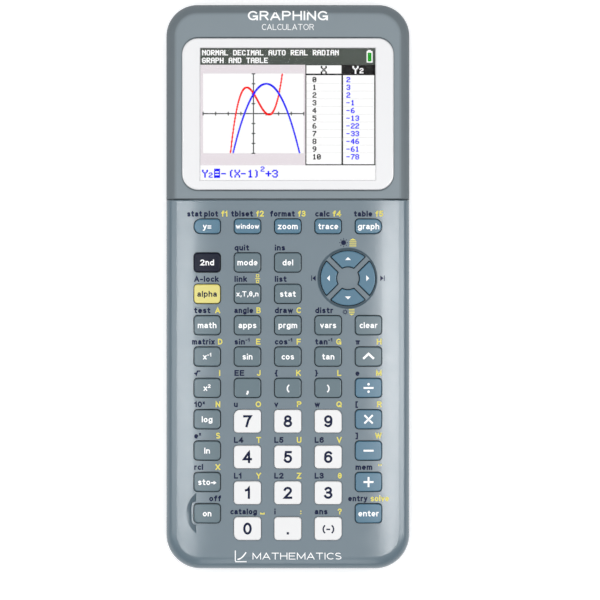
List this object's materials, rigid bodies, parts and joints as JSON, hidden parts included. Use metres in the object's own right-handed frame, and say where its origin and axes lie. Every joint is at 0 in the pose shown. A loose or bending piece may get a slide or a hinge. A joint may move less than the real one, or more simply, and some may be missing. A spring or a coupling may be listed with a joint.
{
  "type": "graphing calculator",
  "caption": "Hand-held graphing calculator with a colour screen in a white bezel, a keypad of separate caps and a round arrow-key pad.",
  "frame": {"origin": "under the middle of the case, on the surface that it lies on", "axes": "+Z out of the key face, +Y towards the screen end, +X to the right when read"},
  "size_m": [0.0822, 0.1906, 0.0156],
  "materials": {
    "housing_plastic": "fine grain, satin",
    "faceplate_plastic": "satin",
    "rear_plastic": "fine grain, matte",
    "window_plastic": "gloss",
    "screen_glass": "lit colour screen",
    "blue_key_plastic": "satin",
    "grey_key_plastic": "satin",
    "white_key_plastic": "satin",
    "navy_key_plastic": "satin",
    "yellow_key_plastic": "satin",
    "board_laminate": "solder mask",
    "silicone": "translucent matte",
    "battery_wrap": "film wrap",
    "screw_steel": "zinc plated"
  },
  "bodies": {
    "calculator_body": {"battery_door": "rear_plastic", "battery_pack": "battery_wrap", "case_screws": "screw_steel", "display_housing": "housing_plastic", "display_module": "screen_glass", "display_window": "window_plastic", "dome_mat": "silicone", "keypad_faceplate": "faceplate_plastic", "main_board": "board_laminate", "rear_case": "rear_plastic"},
    "key_0_cap": {"key_0": "white_key_plastic"},
    "key_1_cap": {"key_1": "white_key_plastic"},
    "key_2_cap": {"key_2": "white_key_plastic"},
    "key_2nd_cap": {"key_2nd": "navy_key_plastic"},
    "key_3_cap": {"key_3": "white_key_plastic"},
    "key_4_cap": {"key_4": "white_key_plastic"},
    "key_5_cap": {"key_5": "white_key_plastic"},
    "key_6_cap": {"key_6": "white_key_plastic"},
    "key_7_cap": {"key_7": "white_key_plastic"},
    "key_8_cap": {"key_8": "white_key_plastic"},
    "key_9_cap": {"key_9": "white_key_plastic"},
    "key_alpha_cap": {"key_alpha": "yellow_key_plastic"},
    "key_apps_cap": {"key_apps": "grey_key_plastic"},
    "key_clear_cap": {"key_clear": "grey_key_plastic"},
    "key_comma_cap": {"key_comma": "grey_key_plastic"},
    "key_cos_cap": {"key_cos": "grey_key_plastic"},
    "key_del_cap": {"key_del": "grey_key_plastic"},
    "key_divide_cap": {"key_divide": "blue_key_plastic"},
    "key_down_cap": {"key_down": "blue_key_plastic"},
    "key_enter_cap": {"key_enter": "blue_key_plastic"},
    "key_graph_cap": {"key_graph": "blue_key_plastic"},
    "key_inverse_cap": {"key_inverse": "grey_key_plastic"},
    "key_left_cap": {"key_left": "blue_key_plastic"},
    "key_left_bracket_cap": {"key_left_bracket": "grey_key_plastic"},
    "key_ln_cap": {"key_ln": "grey_key_plastic"},
    "key_log_cap": {"key_log": "grey_key_plastic"},
    "key_math_cap": {"key_math": "grey_key_plastic"},
    "key_minus_cap": {"key_minus": "blue_key_plastic"},
    "key_mode_cap": {"key_mode": "grey_key_plastic"},
    "key_multiply_cap": {"key_multiply": "blue_key_plastic"},
    "key_negative_cap": {"key_negative": "white_key_plastic"},
    "key_on_cap": {"key_on": "grey_key_plastic"},
    "key_plus_cap": {"key_plus": "blue_key_plastic"},
    "key_point_cap": {"key_point": "white_key_plastic"},
    "key_power_cap": {"key_power": "grey_key_plastic"},
    "key_prgm_cap": {"key_prgm": "grey_key_plastic"},
    "key_right_cap": {"key_right": "blue_key_plastic"},
    "key_right_bracket_cap": {"key_right_bracket": "grey_key_plastic"},
    "key_sin_cap": {"key_sin": "grey_key_plastic"},
    "key_square_cap": {"key_square": "grey_key_plastic"},
    "key_stat_cap": {"key_stat": "grey_key_plastic"},
    "key_store_cap": {"key_store": "grey_key_plastic"},
    "key_tan_cap": {"key_tan": "grey_key_plastic"},
    "key_trace_cap": {"key_trace": "blue_key_plastic"},
    "key_up_cap": {"key_up": "blue_key_plastic"},
    "key_variable_cap": {"key_variable": "grey_key_plastic"},
    "key_vars_cap": {"key_vars": "grey_key_plastic"},
    "key_window_cap": {"key_window": "blue_key_plastic"},
    "key_y_equals_cap": {"key_y_equals": "blue_key_plastic"},
    "key_zoom_cap": {"key_zoom": "blue_key_plastic"}
  },
  "joints": [
    {"name": "press_0", "type": "slide", "parent": "calculator_body", "child": "key_0_cap", "axis": [0, 0, -1], "range_m": [0, 0.001], "stiffness_N_per_m": 800, "springref_m": -0.0005},
    {"name": "press_1", "type": "slide", "parent": "calculator_body", "child": "key_1_cap", "axis": [0, 0, -1], "range_m": [0, 0.001], "stiffness_N_per_m": 800, "springref_m": -0.0005},
    {"name": "press_2", "type": "slide", "parent": "calculator_body", "child": "key_2_cap", "axis": [0, 0, -1], "range_m": [0, 0.001], "stiffness_N_per_m": 800, "springref_m": -0.0005},
    {"name": "press_2nd", "type": "slide", "parent": "calculator_body", "child": "key_2nd_cap", "axis": [0, 0, -1], "range_m": [0, 0.001], "stiffness_N_per_m": 800, "springref_m": -0.0005},
    {"name": "press_3", "type": "slide", "parent": "calculator_body", "child": "key_3_cap", "axis": [0, 0, -1], "range_m": [0, 0.001], "stiffness_N_per_m": 800, "springref_m": -0.0005},
    {"name": "press_4", "type": "slide", "parent": "calculator_body", "child": "key_4_cap", "axis": [0, 0, -1], "range_m": [0, 0.001], "stiffness_N_per_m": 800, "springref_m": -0.0005},
    {"name": "press_5", "type": "slide", "parent": "calculator_body", "child": "key_5_cap", "axis": [0, 0, -1], "range_m": [0, 0.001], "stiffness_N_per_m": 800, "springref_m": -0.0005},
    {"name": "press_6", "type": "slide", "parent": "calculator_body", "child": "key_6_cap", "axis": [0, 0, -1], "range_m": [0, 0.001], "stiffness_N_per_m": 800, "springref_m": -0.0005},
    {"name": "press_7", "type": "slide", "parent": "calculator_body", "child": "key_7_cap", "axis": [0, 0, -1], "range_m": [0, 0.001], "stiffness_N_per_m": 800, "springref_m": -0.0005},
    {"name": "press_8", "type": "slide", "parent": "calculator_body", "child": "key_8_cap", "axis": [0, 0, -1], "range_m": [0, 0.001], "stiffness_N_per_m": 800, "springref_m": -0.0005},
    {"name": "press_9", "type": "slide", "parent": "calculator_body", "child": "key_9_cap", "axis": [0, 0, -1], "range_m": [0, 0.001], "stiffness_N_per_m": 800, "springref_m": -0.0005},
    {"name": "press_alpha", "type": "slide", "parent": "calculator_body", "child": "key_alpha_cap", "axis": [0, 0, -1], "range_m": [0, 0.001], "stiffness_N_per_m": 800, "springref_m": -0.0005},
    {"name": "press_apps", "type": "slide", "parent": "calculator_body", "child": "key_apps_cap", "axis": [0, 0, -1], "range_m": [0, 0.001], "stiffness_N_per_m": 800, "springref_m": -0.0005},
    {"name": "press_clear", "type": "slide", "parent": "calculator_body", "child": "key_clear_cap", "axis": [0, 0, -1], "range_m": [0, 0.001], "stiffness_N_per_m": 800, "springref_m": -0.0005},
    {"name": "press_comma", "type": "slide", "parent": "calculator_body", "child": "key_comma_cap", "axis": [0, 0, -1], "range_m": [0, 0.001], "stiffness_N_per_m": 800, "springref_m": -0.0005},
    {"name": "press_cos", "type": "slide", "parent": "calculator_body", "child": "key_cos_cap", "axis": [0, 0, -1], "range_m": [0, 0.001], "stiffness_N_per_m": 800, "springref_m": -0.0005},
    {"name": "press_del", "type": "slide", "parent": "calculator_body", "child": "key_del_cap", "axis": [0, 0, -1], "range_m": [0, 0.001], "stiffness_N_per_m": 800, "springref_m": -0.0005},
    {"name": "press_divide", "type": "slide", "parent": "calculator_body", "child": "key_divide_cap", "axis": [0, 0, -1], "range_m": [0, 0.001], "stiffness_N_per_m": 800, "springref_m": -0.0005},
    {"name": "press_down", "type": "slide", "parent": "calculator_body", "child": "key_down_cap", "axis": [0, 0, -1], "range_m": [0, 0.001], "stiffness_N_per_m": 800, "springref_m": -0.0005},
    {"name": "press_enter", "type": "slide", "parent": "calculator_body", "child": "key_enter_cap", "axis": [0, 0, -1], "range_m": [0, 0.001], "stiffness_N_per_m": 800, "springref_m": -0.0005, "deforming": ["dome_mat"]},
    {"name": "press_graph", "type": "slide", "parent": "calculator_body", "child": "key_graph_cap", "axis": [0, 0, -1], "range_m": [0, 0.001], "stiffness_N_per_m": 800, "springref_m": -0.0005},
    {"name": "press_inverse", "type": "slide", "parent": "calculator_body", "child": "key_inverse_cap", "axis": [0, 0, -1], "range_m": [0, 0.001], "stiffness_N_per_m": 800, "springref_m": -0.0005},
    {"name": "press_left", "type": "slide", "parent": "calculator_body", "child": "key_left_cap", "axis": [0, 0, -1], "range_m": [0, 0.001], "stiffness_N_per_m": 800, "springref_m": -0.0005},
    {"name": "press_left_bracket", "type": "slide", "parent": "calculator_body", "child": "key_left_bracket_cap", "axis": [0, 0, -1], "range_m": [0, 0.001], "stiffness_N_per_m": 800, "springref_m": -0.0005},
    {"name": "press_ln", "type": "slide", "parent": "calculator_body", "child": "key_ln_cap", "axis": [0, 0, -1], "range_m": [0, 0.001], "stiffness_N_per_m": 800, "springref_m": -0.0005},
    {"name": "press_log", "type": "slide", "parent": "calculator_body", "child": "key_log_cap", "axis": [0, 0, -1], "range_m": [0, 0.001], "stiffness_N_per_m": 800, "springref_m": -0.0005},
    {"name": "press_math", "type": "slide", "parent": "calculator_body", "child": "key_math_cap", "axis": [0, 0, -1], "range_m": [0, 0.001], "stiffness_N_per_m": 800, "springref_m": -0.0005},
    {"name": "press_minus", "type": "slide", "parent": "calculator_body", "child": "key_minus_cap", "axis": [0, 0, -1], "range_m": [0, 0.001], "stiffness_N_per_m": 800, "springref_m": -0.0005},
    {"name": "press_mode", "type": "slide", "parent": "calculator_body", "child": "key_mode_cap", "axis": [0, 0, -1], "range_m": [0, 0.001], "stiffness_N_per_m": 800, "springref_m": -0.0005},
    {"name": "press_multiply", "type": "slide", "parent": "calculator_body", "child": "key_multiply_cap", "axis": [0, 0, -1], "range_m": [0, 0.001], "stiffness_N_per_m": 800, "springref_m": -0.0005},
    {"name": "press_negative", "type": "slide", "parent": "calculator_body", "child": "key_negative_cap", "axis": [0, 0, -1], "range_m": [0, 0.001], "stiffness_N_per_m": 800, "springref_m": -0.0005},
    {"name": "press_on", "type": "slide", "parent": "calculator_body", "child": "key_on_cap", "axis": [0, 0, -1], "range_m": [0, 0.001], "stiffness_N_per_m": 800, "springref_m": -0.0005},
    {"name": "press_plus", "type": "slide", "parent": "calculator_body", "child": "key_plus_cap", "axis": [0, 0, -1], "range_m": [0, 0.001], "stiffness_N_per_m": 800, "springref_m": -0.0005},
    {"name": "press_point", "type": "slide", "parent": "calculator_body", "child": "key_point_cap", "axis": [0, 0, -1], "range_m": [0, 0.001], "stiffness_N_per_m": 800, "springref_m": -0.0005},
    {"name": "press_power", "type": "slide", "parent": "calculator_body", "child": "key_power_cap", "axis": [0, 0, -1], "range_m": [0, 0.001], "stiffness_N_per_m": 800, "springref_m": -0.0005},
    {"name": "press_prgm", "type": "slide", "parent": "calculator_body", "child": "key_prgm_cap", "axis": [0, 0, -1], "range_m": [0, 0.001], "stiffness_N_per_m": 800, "springref_m": -0.0005},
    {"name": "press_right", "type": "slide", "parent": "calculator_body", "child": "key_right_cap", "axis": [0, 0, -1], "range_m": [0, 0.001], "stiffness_N_per_m": 800, "springref_m": -0.0005},
    {"name": "press_right_bracket", "type": "slide", "parent": "calculator_body", "child": "key_right_bracket_cap", "axis": [0, 0, -1], "range_m": [0, 0.001], "stiffness_N_per_m": 800, "springref_m": -0.0005},
    {"name": "press_sin", "type": "slide", "parent": "calculator_body", "child": "key_sin_cap", "axis": [0, 0, -1], "range_m": [0, 0.001], "stiffness_N_per_m": 800, "springref_m": -0.0005},
    {"name": "press_square", "type": "slide", "parent": "calculator_body", "child": "key_square_cap", "axis": [0, 0, -1], "range_m": [0, 0.001], "stiffness_N_per_m": 800, "springref_m": -0.0005},
    {"name": "press_stat", "type": "slide", "parent": "calculator_body", "child": "key_stat_cap", "axis": [0, 0, -1], "range_m": [0, 0.001], "stiffness_N_per_m": 800, "springref_m": -0.0005},
    {"name": "press_store", "type": "slide", "parent": "calculator_body", "child": "key_store_cap", "axis": [0, 0, -1], "range_m": [0, 0.001], "stiffness_N_per_m": 800, "springref_m": -0.0005},
    {"name": "press_tan", "type": "slide", "parent": "calculator_body", "child": "key_tan_cap", "axis": [0, 0, -1], "range_m": [0, 0.001], "stiffness_N_per_m": 800, "springref_m": -0.0005},
    {"name": "press_trace", "type": "slide", "parent": "calculator_body", "child": "key_trace_cap", "axis": [0, 0, -1], "range_m": [0, 0.001], "stiffness_N_per_m": 800, "springref_m": -0.0005},
    {"name": "press_up", "type": "slide", "parent": "calculator_body", "child": "key_up_cap", "axis": [0, 0, -1], "range_m": [0, 0.001], "stiffness_N_per_m": 800, "springref_m": -0.0005},
    {"name": "press_variable", "type": "slide", "parent": "calculator_body", "child": "key_variable_cap", "axis": [0, 0, -1], "range_m": [0, 0.001], "stiffness_N_per_m": 800, "springref_m": -0.0005},
    {"name": "press_vars", "type": "slide", "parent": "calculator_body", "child": "key_vars_cap", "axis": [0, 0, -1], "range_m": [0, 0.001], "stiffness_N_per_m": 800, "springref_m": -0.0005},
    {"name": "press_window", "type": "slide", "parent": "calculator_body", "child": "key_window_cap", "axis": [0, 0, -1], "range_m": [0, 0.001], "stiffness_N_per_m": 800, "springref_m": -0.0005},
    {"name": "press_y_equals", "type": "slide", "parent": "calculator_body", "child": "key_y_equals_cap", "axis": [0, 0, -1], "range_m": [0, 0.001], "stiffness_N_per_m": 800, "springref_m": -0.0005},
    {"name": "press_zoom", "type": "slide", "parent": "calculator_body", "child": "key_zoom_cap", "axis": [0, 0, -1], "range_m": [0, 0.001], "stiffness_N_per_m": 800, "springref_m": -0.0005}
  ]
}
